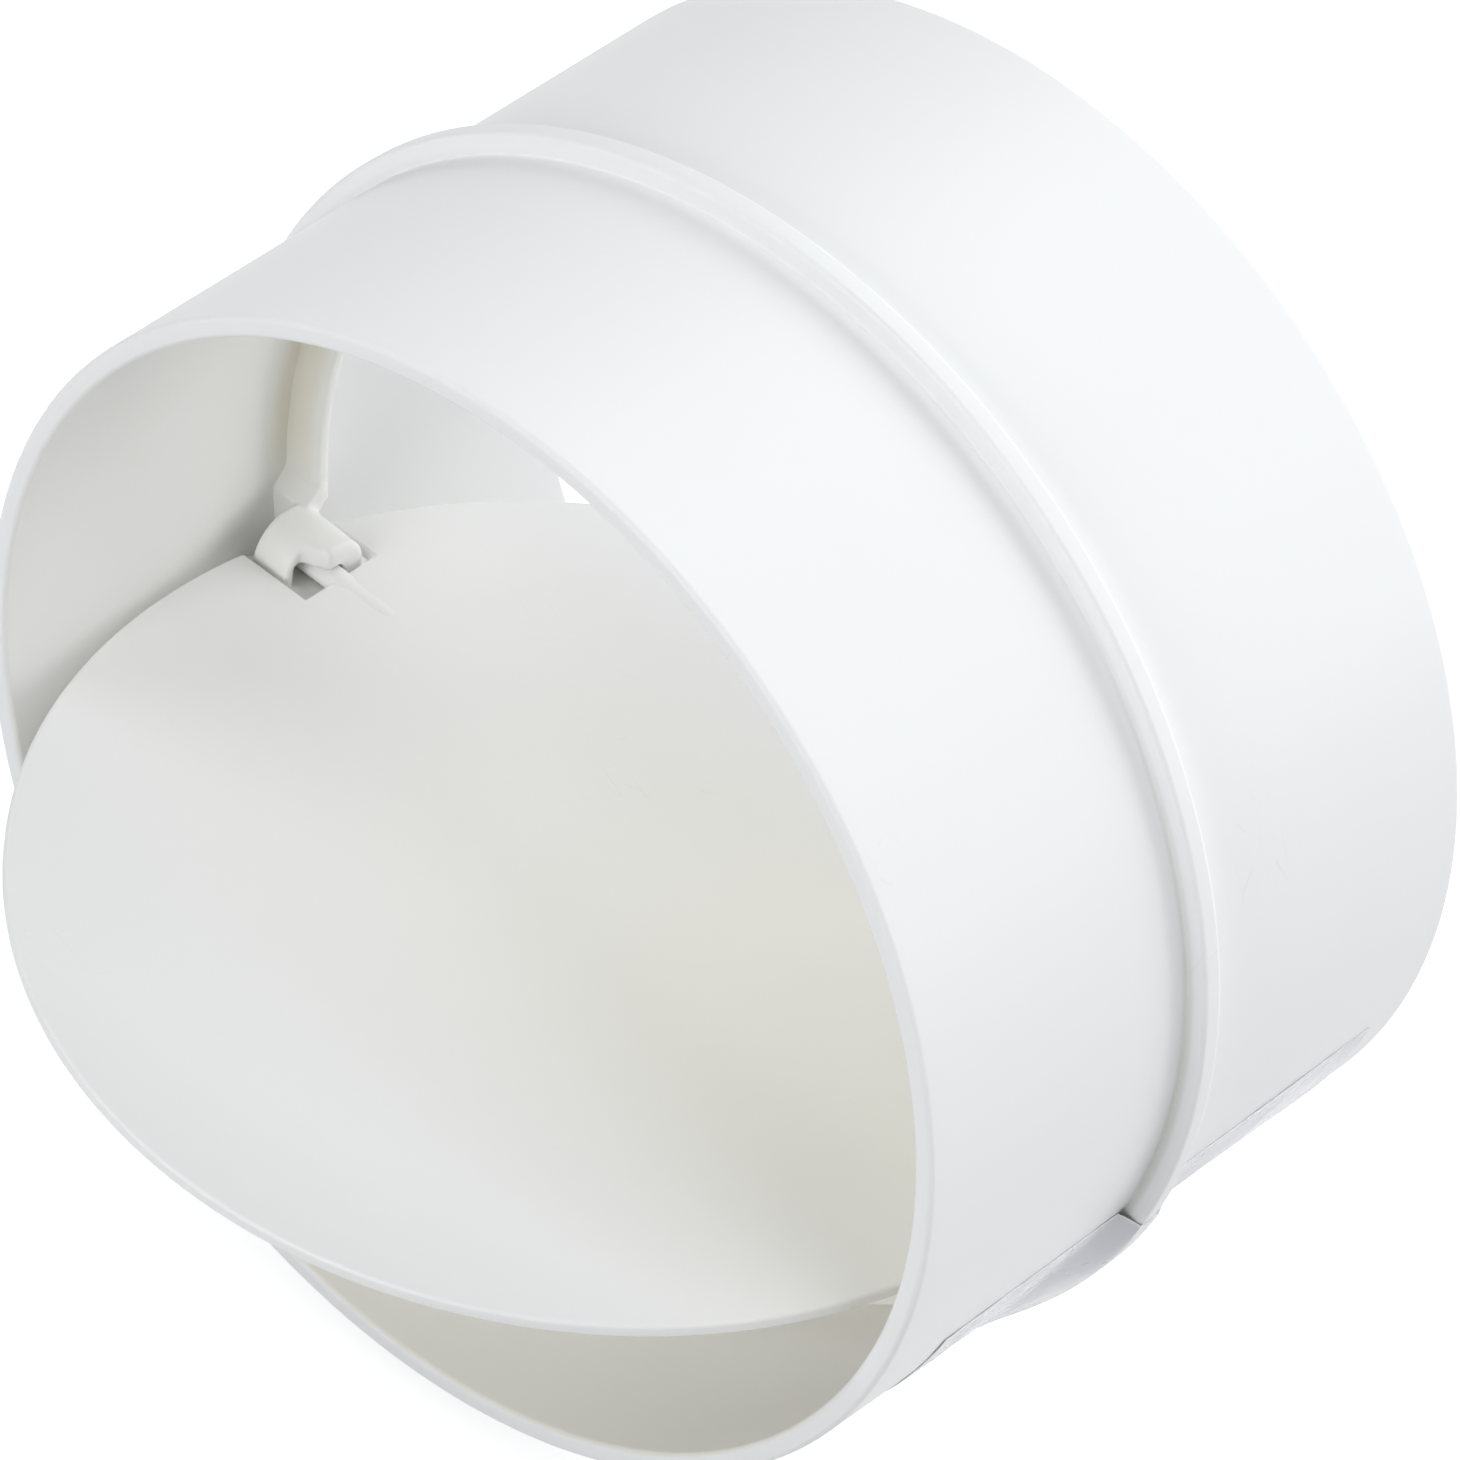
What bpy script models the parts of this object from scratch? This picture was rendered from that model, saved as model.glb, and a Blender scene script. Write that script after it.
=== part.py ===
"""In-line connector for round ventilation duct, with a back-draught flap.

A short moulded tube joins two ducts of the same bore. A bead round its middle
stops each duct's end. A round flap swings on two pins below the tube's axis:
air from the front lays it flat, along the tube, and its own weight or air
from the back swings it across the tube, against two half-round ledges.

The tube's axis is Y and the front is -Y. The origin is on that axis, in the
plane of the bead's front shoulder, where the flap's pivot lies too. +Z is up
with the flap lying open. Run it with: blender --background --python part.py
"""

import math

import bmesh
import bpy
from mathutils import Matrix

MM = 0.001

# Ducts that the connector joins
DUCT_BORE = 100.0 * MM
DUCT_CLEARANCE = 0.2 * MM

# Tube
WALL = 1.85 * MM
FRONT_SPIGOT = 28.9 * MM
BACK_SPIGOT = 30.3 * MM
RIM_ROUND = 0.5 * MM

# Bead round the middle
BEAD_WIDTH = 2.0 * MM
BEAD_HEIGHT = 1.9 * MM
BEAD_ROUND = 0.45 * MM
BEAD_FILLET_RISE = 0.4 * MM
BEAD_FILLET_RUN = 1.8 * MM

# Flap and its pins
PIVOT_DROP = 11.4 * MM
FLAP_THICKNESS = 1.2 * MM
FLAP_EDGE_ROUND = 0.3 * MM
FLAP_WALL_GAP = 0.8 * MM
PIN_RADIUS = 1.05 * MM
PIN_RIB_LENGTH = 6.8 * MM
PIN_RIB_TAPER = 1.5 * MM
PIN_RIB_TIP = 0.4 * MM
PIN_CHAMFER = 0.3 * MM
PIN_END_GAP = 1.0 * MM

# Bosses that carry the pins: a neck from the wall, a hook round the pin and a lip over it
BOSS_RADIUS = 3.4 * MM
BOSS_LENGTH = 5.8 * MM
BOSS_CHAMFER = 0.3 * MM
HOOK_WALL_GAP = 2.0 * MM
LIP_LENGTH = 2.2 * MM
LIP_ROOT_REACH = 1.9 * MM
LIP_TIP_REACH = 0.9 * MM
NECK_SETBACK = 1.3 * MM
BORE_CLEARANCE = 0.2 * MM
BORE_FLOOR = 0.5 * MM
SLOT_WALL = 1.0 * MM
NOTCH_SIDE_GAP = 0.55 * MM
NOTCH_END_GAP = 0.5 * MM

# Ledges that the closed flap lies against
LEDGE_HEIGHT = 3.45 * MM
LEDGE_THICKNESS = 1.4 * MM
LEDGE_ROUND = 0.35 * MM
LEDGE_GAP = 2.3 * MM
LEDGE_END_GAP = 1.1 * MM

# Ramps that lead each boss up to the ends of the ledges
RAMP_RISE = 1.1 * MM
RAMP_SINK = 0.15 * MM
RAMP_OVERLAP = 0.3 * MM

# Facets of the round forms
TUBE_STEPS = 96
PIN_STEPS = 20
BOSS_STEPS = 16
ROUND_STEPS = 3
EDGE_STEPS = 2
WELD_DISTANCE = 0.002 * MM
LEVEL_TOLERANCE = 0.001 * MM
CORNER_DEG = 35

# Sizes that follow from those above
SPIGOT_RADIUS = DUCT_BORE / 2 - DUCT_CLEARANCE
BORE_RADIUS = SPIGOT_RADIUS - WALL
BEAD_RADIUS = SPIGOT_RADIUS + BEAD_HEIGHT
FRONT_RIM_Y = -FRONT_SPIGOT
BACK_RIM_Y = BEAD_WIDTH + BACK_SPIGOT
MID_WALL_RADIUS = BORE_RADIUS + WALL / 2
PIVOT_Z = -PIVOT_DROP
PIVOT_WALL_X = math.sqrt(BORE_RADIUS**2 - PIVOT_DROP**2)
FLAP_SIDE_X = math.sqrt(BORE_RADIUS**2 - (PIVOT_DROP + FLAP_THICKNESS / 2) ** 2)
FLAP_RADIUS = FLAP_SIDE_X - FLAP_WALL_GAP
HOOK_START_X = PIVOT_WALL_X - HOOK_WALL_GAP
BOSS_FACE_X = PIVOT_WALL_X - BOSS_LENGTH
LIP_END_X = BOSS_FACE_X - LIP_LENGTH
PIN_BORE_RADIUS = PIN_RADIUS + BORE_CLEARANCE
PIN_BORE_END_X = PIVOT_WALL_X - BORE_FLOOR
PIN_END_X = PIN_BORE_END_X - PIN_END_GAP
SLOT_FRONT = BOSS_RADIUS - SLOT_WALL
NOTCH_X = LIP_END_X - NOTCH_END_GAP
NOTCH_HALF_WIDTH = BOSS_RADIUS + NOTCH_SIDE_GAP
LEDGE_RADIUS = BORE_RADIUS - LEDGE_HEIGHT
LEDGE_NEAR_Y = FLAP_THICKNESS / 2 + LEDGE_GAP
LEDGE_FAR_Y = LEDGE_NEAR_Y + LEDGE_THICKNESS
LEDGE_MID_Y = LEDGE_NEAR_Y + LEDGE_THICKNESS / 2
LEDGE_END_HEIGHT = FLAP_THICKNESS / 2 + LEDGE_END_GAP
RAMP_END_X = HOOK_START_X - RAMP_OVERLAP


def clear_scene():
    for old in list(bpy.data.objects):
        bpy.data.objects.remove(old, do_unlink=True)


def plastic(name, colour, roughness):
    """A plain moulded plastic."""
    made = bpy.data.materials.new(name)
    made.use_nodes = True
    shader = made.node_tree.nodes["Principled BSDF"]
    shader.inputs["Base Color"].default_value = (*colour, 1.0)
    shader.inputs["Roughness"].default_value = roughness
    shader.inputs["Metallic"].default_value = 0.0
    return made


def add_object(name, mesh_data, location=(0.0, 0.0, 0.0)):
    """Turn a bmesh into a named object, with every face pointing out."""
    bmesh.ops.remove_doubles(mesh_data, verts=mesh_data.verts, dist=WELD_DISTANCE)
    bmesh.ops.recalc_face_normals(mesh_data, faces=mesh_data.faces)
    mesh = bpy.data.meshes.new(name)
    mesh_data.to_mesh(mesh)
    mesh_data.free()
    made = bpy.data.objects.new(name, mesh)
    made.location = location
    bpy.context.scene.collection.objects.link(made)
    return made


def combine(target, name, tools, operation):
    """Join a group of construction shapes to the target, or cut them away."""
    group = bpy.data.collections.new(name)
    bpy.context.scene.collection.children.link(group)
    for tool in tools:
        bpy.context.scene.collection.objects.unlink(tool)
        group.objects.link(tool)
        tool.hide_render = True
        tool.display_type = "WIRE"
    step = target.modifiers.new(name, "BOOLEAN")
    step.operation = operation
    step.solver = "EXACT"
    step.operand_type = "COLLECTION"
    step.collection = group


def oval(centre, across, along, start_deg, end_deg, steps=ROUND_STEPS):
    """Points along an oval corner, its two ends included."""
    points = []
    for i in range(steps + 1):
        angle = math.radians(start_deg + (end_deg - start_deg) * i / steps)
        points.append((centre[0] + across * math.cos(angle), centre[1] + along * math.sin(angle)))
    return points


def arc(centre, radius, start_deg, end_deg, steps=ROUND_STEPS):
    """Points along a round corner, its two ends included."""
    return oval(centre, radius, radius, start_deg, end_deg, steps)


def tube_profile():
    """Closed outline of the wall as (radius, y), with the bead on its outside."""
    rim = RIM_ROUND
    rise = BEAD_FILLET_RISE
    run = BEAD_FILLET_RUN
    bead = BEAD_ROUND
    outline = arc((BORE_RADIUS + rim, FRONT_RIM_Y + rim), rim, 180, 270)
    outline += arc((SPIGOT_RADIUS - rim, FRONT_RIM_Y + rim), rim, 270, 360)
    outline += oval((SPIGOT_RADIUS + rise, -run), rise, run, 180, 90)
    outline += arc((BEAD_RADIUS - bead, bead), bead, 270, 360)
    outline += arc((BEAD_RADIUS - bead, BEAD_WIDTH - bead), bead, 0, 90)
    outline += oval((SPIGOT_RADIUS + rise, BEAD_WIDTH + run), rise, run, 270, 180)
    outline += arc((SPIGOT_RADIUS - rim, BACK_RIM_Y - rim), rim, 0, 90)
    outline += arc((BORE_RADIUS + rim, BACK_RIM_Y - rim), rim, 90, 180)
    return outline


def spin_about_tube(mesh_data, start, angle, steps):
    """Sweep what is in the mesh round the tube's axis."""
    bmesh.ops.rotate(
        mesh_data, verts=mesh_data.verts, cent=(0, 0, 0), matrix=Matrix.Rotation(-start, 3, "Y")
    )
    bmesh.ops.spin(
        mesh_data,
        geom=mesh_data.verts[:] + mesh_data.edges[:] + mesh_data.faces[:],
        cent=(0, 0, 0),
        axis=(0, 1, 0),
        dvec=(0, 0, 0),
        angle=-angle,
        steps=steps,
    )


def make_wall():
    """The tube's wall and bead: one profile turned all the way round."""
    mesh_data = bmesh.new()
    points = [mesh_data.verts.new((radius, y, 0)) for radius, y in tube_profile()]
    for first, second in zip(points, points[1:] + points[:1]):
        mesh_data.edges.new((first, second))
    spin_about_tube(mesh_data, 0, 2 * math.pi, TUBE_STEPS)
    return add_object("connector_body", mesh_data)


def ledge_profile():
    """Outline of a ledge as (radius, y), rooted in the wall."""
    corner = LEDGE_ROUND
    outline = [(MID_WALL_RADIUS, LEDGE_FAR_Y), (MID_WALL_RADIUS, LEDGE_NEAR_Y)]
    outline += arc((LEDGE_RADIUS + corner, LEDGE_NEAR_Y + corner), corner, 270, 180, EDGE_STEPS)
    outline += arc((LEDGE_RADIUS + corner, LEDGE_FAR_Y - corner), corner, 180, 90, EDGE_STEPS)
    return outline


def make_ledge(name, way):
    """A ledge from boss to boss: way 1 over the top and behind the closed flap, -1 below and before it."""
    mesh_data = bmesh.new()
    outline = ledge_profile()
    mesh_data.faces.new([mesh_data.verts.new((radius, way * y, 0)) for radius, y in outline])
    ends_z = PIVOT_Z + way * LEDGE_END_HEIGHT
    start = way * math.asin(ends_z / MID_WALL_RADIUS)
    sweep = math.pi - 2 * start
    steps = round(TUBE_STEPS * sweep / (2 * math.pi))
    spin_about_tube(mesh_data, start if way > 0 else math.pi + start, sweep, steps)
    return add_object(name, mesh_data)


def add_ring(mesh_data, side, outline, at_x, inset=0.0):
    """The outline, given about the pivot, as a ring of vertices at x, or on the wall where x is None."""
    ring = []
    for y, height in outline:
        shrink = 1.0 - inset / math.hypot(y, height)
        z = PIVOT_Z + height * shrink
        x = at_x or math.sqrt(MID_WALL_RADIUS**2 - z**2)
        ring.append(mesh_data.verts.new((side * x, y * shrink, z)))
    return ring


def join_rings(mesh_data, near, far, closed=True):
    """Faces between two rings of the same length."""
    for i in range(len(near) if closed else len(near) - 1):
        j = (i + 1) % len(near)
        mesh_data.faces.new((near[i], near[j], far[j], far[i]))


def add_prism(mesh_data, side, outline, start_x, end_x):
    """A prism along x on the outline given about the pivot; it starts in the wall where start_x is None."""
    start = add_ring(mesh_data, side, outline, start_x)
    end = add_ring(mesh_data, side, outline, end_x)
    mesh_data.faces.new(start)
    mesh_data.faces.new(end)
    join_rings(mesh_data, start, end)


def boss_turn(reach):
    """Angle from straight behind the pin round to where the boss is cut off, this far before the pin."""
    return math.degrees(math.acos(-reach / BOSS_RADIUS))


def add_boss(mesh_data, side):
    """A boss in three parts: a neck behind the pin, a whole round hook, and a lip over the pin."""
    neck_turn = boss_turn(-NECK_SETBACK)
    lip_turn = boss_turn(LIP_ROOT_REACH)
    tip_turn = boss_turn(LIP_TIP_REACH)
    steps = BOSS_STEPS // 2
    neck = arc((0, 0), BOSS_RADIUS, -neck_turn, neck_turn, steps)
    upper = arc((0, 0), BOSS_RADIUS, neck_turn, lip_turn, steps)[1:]
    front = arc((0, 0), BOSS_RADIUS, lip_turn, 360 - lip_turn, steps)[1:]
    lower = arc((0, 0), BOSS_RADIUS, 360 - lip_turn, 360 - neck_turn, steps)[1:-1]
    wall = add_ring(mesh_data, side, neck, None)
    start = add_ring(mesh_data, side, neck + upper + front + lower, HOOK_START_X)
    face = add_ring(mesh_data, side, neck + upper + front + lower, BOSS_FACE_X)
    neck_end = len(neck)
    lip_end = neck_end + len(upper)
    lip_start = lip_end + len(front) - 1
    root = face[lip_start:] + face[:lip_end]
    tip_outline = arc((0, 0), BOSS_RADIUS, -tip_turn, tip_turn, len(root) - 1)
    lip = add_ring(mesh_data, side, tip_outline, LIP_END_X + BOSS_CHAMFER)
    tip = add_ring(mesh_data, side, tip_outline, LIP_END_X, BOSS_CHAMFER)
    join_rings(mesh_data, wall, start[:neck_end])
    join_rings(mesh_data, start, face)
    join_rings(mesh_data, root, lip)
    join_rings(mesh_data, lip, tip)
    mesh_data.faces.new(wall)
    mesh_data.faces.new(start[neck_end - 1:] + start[:1])
    mesh_data.faces.new(face[lip_end - 1:lip_start + 1])
    mesh_data.faces.new(tip)


def ramp_outline(way):
    """Outline, about the pivot, of the ramp from a boss up to a ledge's end; way as for the ledges."""
    foot = math.sqrt(BOSS_RADIUS**2 - NECK_SETBACK**2) - RAMP_SINK
    top = BOSS_RADIUS + RAMP_RISE
    bottom = LEDGE_END_HEIGHT + RAMP_SINK
    corners = [(NECK_SETBACK, foot), (LEDGE_MID_Y, top), (LEDGE_MID_Y, bottom), (NECK_SETBACK, bottom)]
    return [(way * y, way * height) for y, height in corners]


def make_ramps():
    """Four ramps, one between each boss and each ledge."""
    mesh_data = bmesh.new()
    for side in (-1, 1):
        for way in (-1, 1):
            add_prism(mesh_data, side, ramp_outline(way), None, RAMP_END_X)
    return add_object("ramps", mesh_data)


def make_bosses():
    """Two bosses that stand in from the wall at the pivot, one on each side."""
    mesh_data = bmesh.new()
    for side in (-1, 1):
        add_boss(mesh_data, side)
    return add_object("bosses", mesh_data)


def add_rod(mesh_data, side, sections):
    """A round rod on the pivot's axis, through sections given as (x, radius)."""
    rings = []
    for x, radius in sections:
        outline = arc((0, 0), radius, 0, 360, PIN_STEPS)[:-1]
        rings.append(add_ring(mesh_data, side, outline, x))
    mesh_data.faces.new(rings[0])
    mesh_data.faces.new(rings[-1])
    for near, far in zip(rings, rings[1:]):
        join_rings(mesh_data, near, far)


def add_box(mesh_data, low, high):
    """A box between two corners."""
    size = [b - a for a, b in zip(low, high)]
    middle = [(a + b) / 2 for a, b in zip(low, high)]
    where = Matrix.Translation(middle) @ Matrix.Diagonal((*size, 1.0))
    bmesh.ops.create_cube(mesh_data, size=1.0, matrix=where)


def make_pin_slots():
    """Cutter for the blind slots that the pins turn in, round behind the pin and square before it."""
    mesh_data = bmesh.new()
    outline = arc((0, 0), PIN_BORE_RADIUS, -90, 90, PIN_STEPS // 2)
    outline += [(-SLOT_FRONT, PIN_BORE_RADIUS), (-SLOT_FRONT, -PIN_BORE_RADIUS)]
    for side in (-1, 1):
        add_prism(mesh_data, side, outline, PIN_BORE_END_X, LIP_END_X - LIP_LENGTH)
    return add_object("pin_slots", mesh_data)


def make_body():
    """The connector's body: tube, bead, ledges and bosses in one moulding."""
    body = make_wall()
    ledges = [make_ledge("upper_ledge", 1), make_ledge("lower_ledge", -1)]
    combine(body, "moulded_on", ledges + [make_bosses(), make_ramps()], "UNION")
    combine(body, "slotted", [make_pin_slots()], "DIFFERENCE")
    body.data.materials.append(plastic("body_plastic", (0.86, 0.87, 0.88), 0.38))
    return body


def make_disc():
    """The flap's round plate, about the pivot at its own origin."""
    mesh_data = bmesh.new()
    bmesh.ops.create_cone(
        mesh_data,
        cap_ends=True,
        segments=TUBE_STEPS,
        radius1=FLAP_RADIUS,
        radius2=FLAP_RADIUS,
        depth=FLAP_THICKNESS,
        matrix=Matrix.Translation((0, -PIVOT_DROP, 0)),
    )
    edges = [
        edge
        for edge in mesh_data.edges
        if abs(edge.verts[0].co.z - edge.verts[1].co.z) < LEVEL_TOLERANCE
    ]
    bmesh.ops.bevel(
        mesh_data,
        geom=edges,
        offset=FLAP_EDGE_ROUND,
        segments=EDGE_STEPS,
        profile=0.5,
        affect="EDGES",
    )
    return add_object("flap", mesh_data, (0, 0, PIVOT_Z))


def make_notches():
    """Cutter for the notches that clear the bosses."""
    mesh_data = bmesh.new()
    for side in (-1, 1):
        across = sorted((side * NOTCH_X, side * SPIGOT_RADIUS))
        low = (across[0], -NOTCH_HALF_WIDTH, PIVOT_Z - FLAP_THICKNESS)
        high = (across[1], NOTCH_HALF_WIDTH, PIVOT_Z + FLAP_THICKNESS)
        add_box(mesh_data, low, high)
    return add_object("notches", mesh_data)


def make_pins():
    """The two pins, each led into the plate by a rib as round as itself."""
    mesh_data = bmesh.new()
    rib_start = NOTCH_X - PIN_RIB_LENGTH
    sections = [
        (rib_start, PIN_RIB_TIP),
        (rib_start + PIN_RIB_TAPER, PIN_RADIUS),
        (PIN_END_X - PIN_CHAMFER, PIN_RADIUS),
        (PIN_END_X, PIN_RADIUS - PIN_CHAMFER),
    ]
    for side in (-1, 1):
        add_rod(mesh_data, side, sections)
    return add_object("pins", mesh_data)


def make_flap():
    """The flap: plate, notches and pins in one moulding, open at rest."""
    flap = make_disc()
    combine(flap, "notched", [make_notches()], "DIFFERENCE")
    combine(flap, "pinned", [make_pins()], "UNION")
    flap.data.materials.append(plastic("flap_plastic", (0.84, 0.84, 0.83), 0.42))
    return flap


def shade(piece):
    """Smooth shading on the round faces, with the true corners kept sharp."""
    piece.data.shade_smooth()
    piece.data.set_sharp_from_angle(angle=math.radians(CORNER_DEG))


def main():
    clear_scene()
    for piece in (make_body(), make_flap()):
        shade(piece)


main()
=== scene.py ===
import math

import bmesh
import bpy
from mathutils import Euler, Matrix, Vector


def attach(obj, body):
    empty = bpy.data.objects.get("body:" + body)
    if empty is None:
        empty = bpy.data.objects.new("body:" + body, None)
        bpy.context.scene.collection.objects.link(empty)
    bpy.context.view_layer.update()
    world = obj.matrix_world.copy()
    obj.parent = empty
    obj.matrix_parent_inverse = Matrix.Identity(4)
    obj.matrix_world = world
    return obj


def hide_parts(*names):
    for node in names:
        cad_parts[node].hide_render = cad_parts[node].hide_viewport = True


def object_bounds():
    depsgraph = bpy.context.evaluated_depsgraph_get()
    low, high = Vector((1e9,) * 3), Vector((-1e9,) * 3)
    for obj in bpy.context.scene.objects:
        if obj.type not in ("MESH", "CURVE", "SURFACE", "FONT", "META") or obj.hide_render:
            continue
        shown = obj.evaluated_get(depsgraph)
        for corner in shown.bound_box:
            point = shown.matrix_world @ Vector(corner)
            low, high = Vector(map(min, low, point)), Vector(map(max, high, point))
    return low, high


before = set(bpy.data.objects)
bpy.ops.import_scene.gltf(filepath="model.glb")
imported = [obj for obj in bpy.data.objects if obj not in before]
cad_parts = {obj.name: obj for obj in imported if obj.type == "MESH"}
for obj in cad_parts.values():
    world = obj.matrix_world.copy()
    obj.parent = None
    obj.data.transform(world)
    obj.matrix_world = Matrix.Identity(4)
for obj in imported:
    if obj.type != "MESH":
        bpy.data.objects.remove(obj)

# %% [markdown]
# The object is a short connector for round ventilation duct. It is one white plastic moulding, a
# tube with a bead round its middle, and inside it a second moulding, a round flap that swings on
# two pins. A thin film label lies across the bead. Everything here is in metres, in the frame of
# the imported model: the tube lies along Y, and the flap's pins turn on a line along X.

MM = 0.001
CAD_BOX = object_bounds()
print("nodes to dress:", sorted(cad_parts))
print("packed box in mm:", [[round(c / MM, 2) for c in corner] for corner in CAD_BOX])

# %% [markdown]
# The camera is a long lens from far away, so parallel edges stay almost parallel. It looks down
# into the tube's front end and is rolled a little. A place and three turns say that exactly; a
# target and an up vector could do it too, but not the roll.

# %% Camera
CAMERA_PLACE = (0.43788, -0.59167, 0.69708)
CAMERA_TURN_DEG = (46.203, -6.920, 42.938)
LENS_MM = 320.93
SENSOR_MM = 36.0

lens = bpy.data.cameras.new("camera")
lens.lens = LENS_MM
lens.sensor_width = SENSOR_MM
lens.clip_start = 0.01
lens.clip_end = 20.0
camera = bpy.data.objects.new("camera", lens)
camera.location = CAMERA_PLACE
camera.rotation_euler = Euler([math.radians(turn) for turn in CAMERA_TURN_DEG])
bpy.context.scene.collection.objects.link(camera)
bpy.context.scene.camera = camera
bpy.context.scene.view_settings.view_transform = "Standard"
print("camera distance in mm:", round(camera.location.length / MM))

# %% [markdown]
# Two plain helpers build every node tree below. One adds a node and fills its inputs, from a
# value or from another node's output. The other fills a material with a fresh Principled shader.

# %% Helpers for node trees
def add_node(tree, kind, inputs=None, **settings):
    """Add a node; inputs maps a socket's name or number to a value or to an output socket."""
    node = tree.nodes.new(kind)
    for key, value in settings.items():
        setattr(node, key, value)
    for key, value in (inputs or {}).items():
        if isinstance(value, bpy.types.NodeSocket):
            tree.links.new(value, node.inputs[key])
        else:
            node.inputs[key].default_value = value
    return node


def add_maths(tree, operation, *values):
    """The result of one sum, from numbers or output sockets."""
    return add_node(tree, "ShaderNodeMath", dict(enumerate(values)), operation=operation).outputs[0]


def new_material(name):
    """An empty material with a Principled shader wired to its output."""
    made = bpy.data.materials.new(name)
    made.use_nodes = True
    made.node_tree.nodes.clear()
    shader = add_node(made.node_tree, "ShaderNodeBsdfPrincipled")
    output = add_node(made.node_tree, "ShaderNodeOutputMaterial")
    made.node_tree.links.new(shader.outputs["BSDF"], output.inputs["Surface"])
    return made, shader


def new_group(name, kind, inputs, outputs):
    """A node group with named inputs, given as (name, socket type, value), and named outputs."""
    tree = bpy.data.node_groups.new(name, kind)
    for label, socket_type, value in inputs:
        socket = tree.interface.new_socket(label, in_out="INPUT", socket_type=socket_type)
        if value is not None:
            socket.default_value = value
    for label, socket_type in outputs:
        tree.interface.new_socket(label, in_out="OUTPUT", socket_type=socket_type)
    return tree, add_node(tree, "NodeGroupInput"), add_node(tree, "NodeGroupOutput")


FLOAT = "NodeSocketFloat"
WHOLE = "NodeSocketInt"
SHAPE = "NodeSocketGeometry"
print("helpers ready")

# %% [markdown]
# The photograph has a clean white ground. The floor is a large white sheet, and only rays that
# come straight from the camera, or by way of a gloss, see it a little brighter. So the
# ground is white without more light on the object, and the soft shadow stays.

# %% Floor and surroundings
FLOOR_SIZE = 6.0
FLOOR_DROP = 0.3 * MM
FLOOR_WHITE = (0.6, 0.6, 0.6, 1.0)
FLOOR_GLOW = 0.7
WORLD_COLOUR = (0.955, 0.975, 1.0, 1.0)
WORLD_LIGHT = 0.135


def seen_directly(tree):
    """1 for rays from the camera, from a gloss or through glass, and 0 for light that bounces."""
    path = add_node(tree, "ShaderNodeLightPath")
    seen = add_maths(tree, "MAXIMUM", path.outputs["Is Camera Ray"], path.outputs["Is Glossy Ray"])
    return add_maths(tree, "MAXIMUM", seen, path.outputs["Is Transmission Ray"])


def make_floor():
    made, shader = new_material("white_floor")
    shader.inputs["Base Color"].default_value = FLOOR_WHITE
    shader.inputs["Roughness"].default_value = 1.0
    shader.inputs["Specular IOR Level"].default_value = 0.0
    shader.inputs["Emission Color"].default_value = (1.0, 1.0, 1.0, 1.0)
    glow = add_maths(made.node_tree, "MULTIPLY", seen_directly(made.node_tree), FLOOR_GLOW)
    made.node_tree.links.new(glow, shader.inputs["Emission Strength"])
    mesh = bpy.data.meshes.new("floor")
    half = FLOOR_SIZE / 2
    height = CAD_BOX[0][2] - FLOOR_DROP
    corners = [(-half, -half, height), (half, -half, height), (half, half, height), (-half, half, height)]
    mesh.from_pydata(corners, [], [(0, 1, 2, 3)])
    mesh.materials.append(made)
    floor = bpy.data.objects.new("floor", mesh)
    bpy.context.scene.collection.objects.link(floor)


def make_world():
    world = bpy.data.worlds.new("surroundings")
    world.use_nodes = True
    tree = world.node_tree
    tree.nodes.clear()
    seen = seen_directly(tree)
    light = add_node(tree, "ShaderNodeBackground", {"Color": WORLD_COLOUR, "Strength": WORLD_LIGHT})
    white = add_node(tree, "ShaderNodeBackground", {"Color": (1.0, 1.0, 1.0, 1.0), "Strength": 1.0})
    mix = add_node(tree, "ShaderNodeMixShader", {0: seen, 1: light.outputs[0], 2: white.outputs[0]})
    output = add_node(tree, "ShaderNodeOutputWorld")
    tree.links.new(mix.outputs[0], output.inputs["Surface"])
    bpy.context.scene.world = world


make_floor()
make_world()
print("floor at z in mm:", round((CAD_BOX[0][2] - FLOOR_DROP) / MM, 2))

# %% [markdown]
# The light of a small product studio. Two soft boxes and a low strip stand behind the tube, so
# that light enters its far end and runs along its outside. Together they are weak enough that
# the closed flap isn't washed out from behind. One box stands before the tube, and two over it,
# on the left and on the right. The surroundings add a little from everywhere.

# %% Lamps
LAMP_WIDTH = 0.8
LAMP_DISTANCE = 1.5
LAMP_COLOUR = (0.955, 0.975, 1.0)
# Each lamp is its name, the direction that it stands in, its height in metres and its power in watts.
LAMPS = (
    ("front_box", (-0.04, -0.9, 0.35), 0.8, 10.8),
    ("left_top_box", (-0.6, -0.35, 0.65), 0.8, 4.2),
    ("right_top_box", (0.5, 0.0, 0.85), 0.8, 8.3),
    ("back_top_box", (-0.15, 0.8, 0.6), 0.8, 7.8),
    ("back_right_box", (0.5, 0.8, 0.35), 0.8, 8.7),
    ("low_right_strip", (0.8, 0.6, 0.1), 0.4, 3.4),
)


def add_lamp(name, direction, height, power):
    """A soft lamp that looks at the object."""
    light = bpy.data.lights.new(name, "AREA")
    light.shape = "RECTANGLE"
    light.size = LAMP_WIDTH
    light.size_y = height
    light.energy = power
    light.color = LAMP_COLOUR
    lamp = bpy.data.objects.new(name, light)
    lamp.location = Vector(direction).normalized() * LAMP_DISTANCE
    lamp.rotation_euler = (-lamp.location).to_track_quat("-Z", "Y").to_euler()
    bpy.context.scene.collection.objects.link(lamp)


for lamp in LAMPS:
    add_lamp(*lamp)
print("lamps:", len(LAMPS), "watts in all:", round(sum(lamp[-1] for lamp in LAMPS), 1))

# %% [markdown]
# Moulded plastic is never one flat colour. Its skin has a very fine grain from the mould, broad
# faint clouds where the melt flowed, and a few scuffs from handling. Both mouldings have these,
# so they are shader groups with named inputs that each material fills with its own values.

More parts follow.
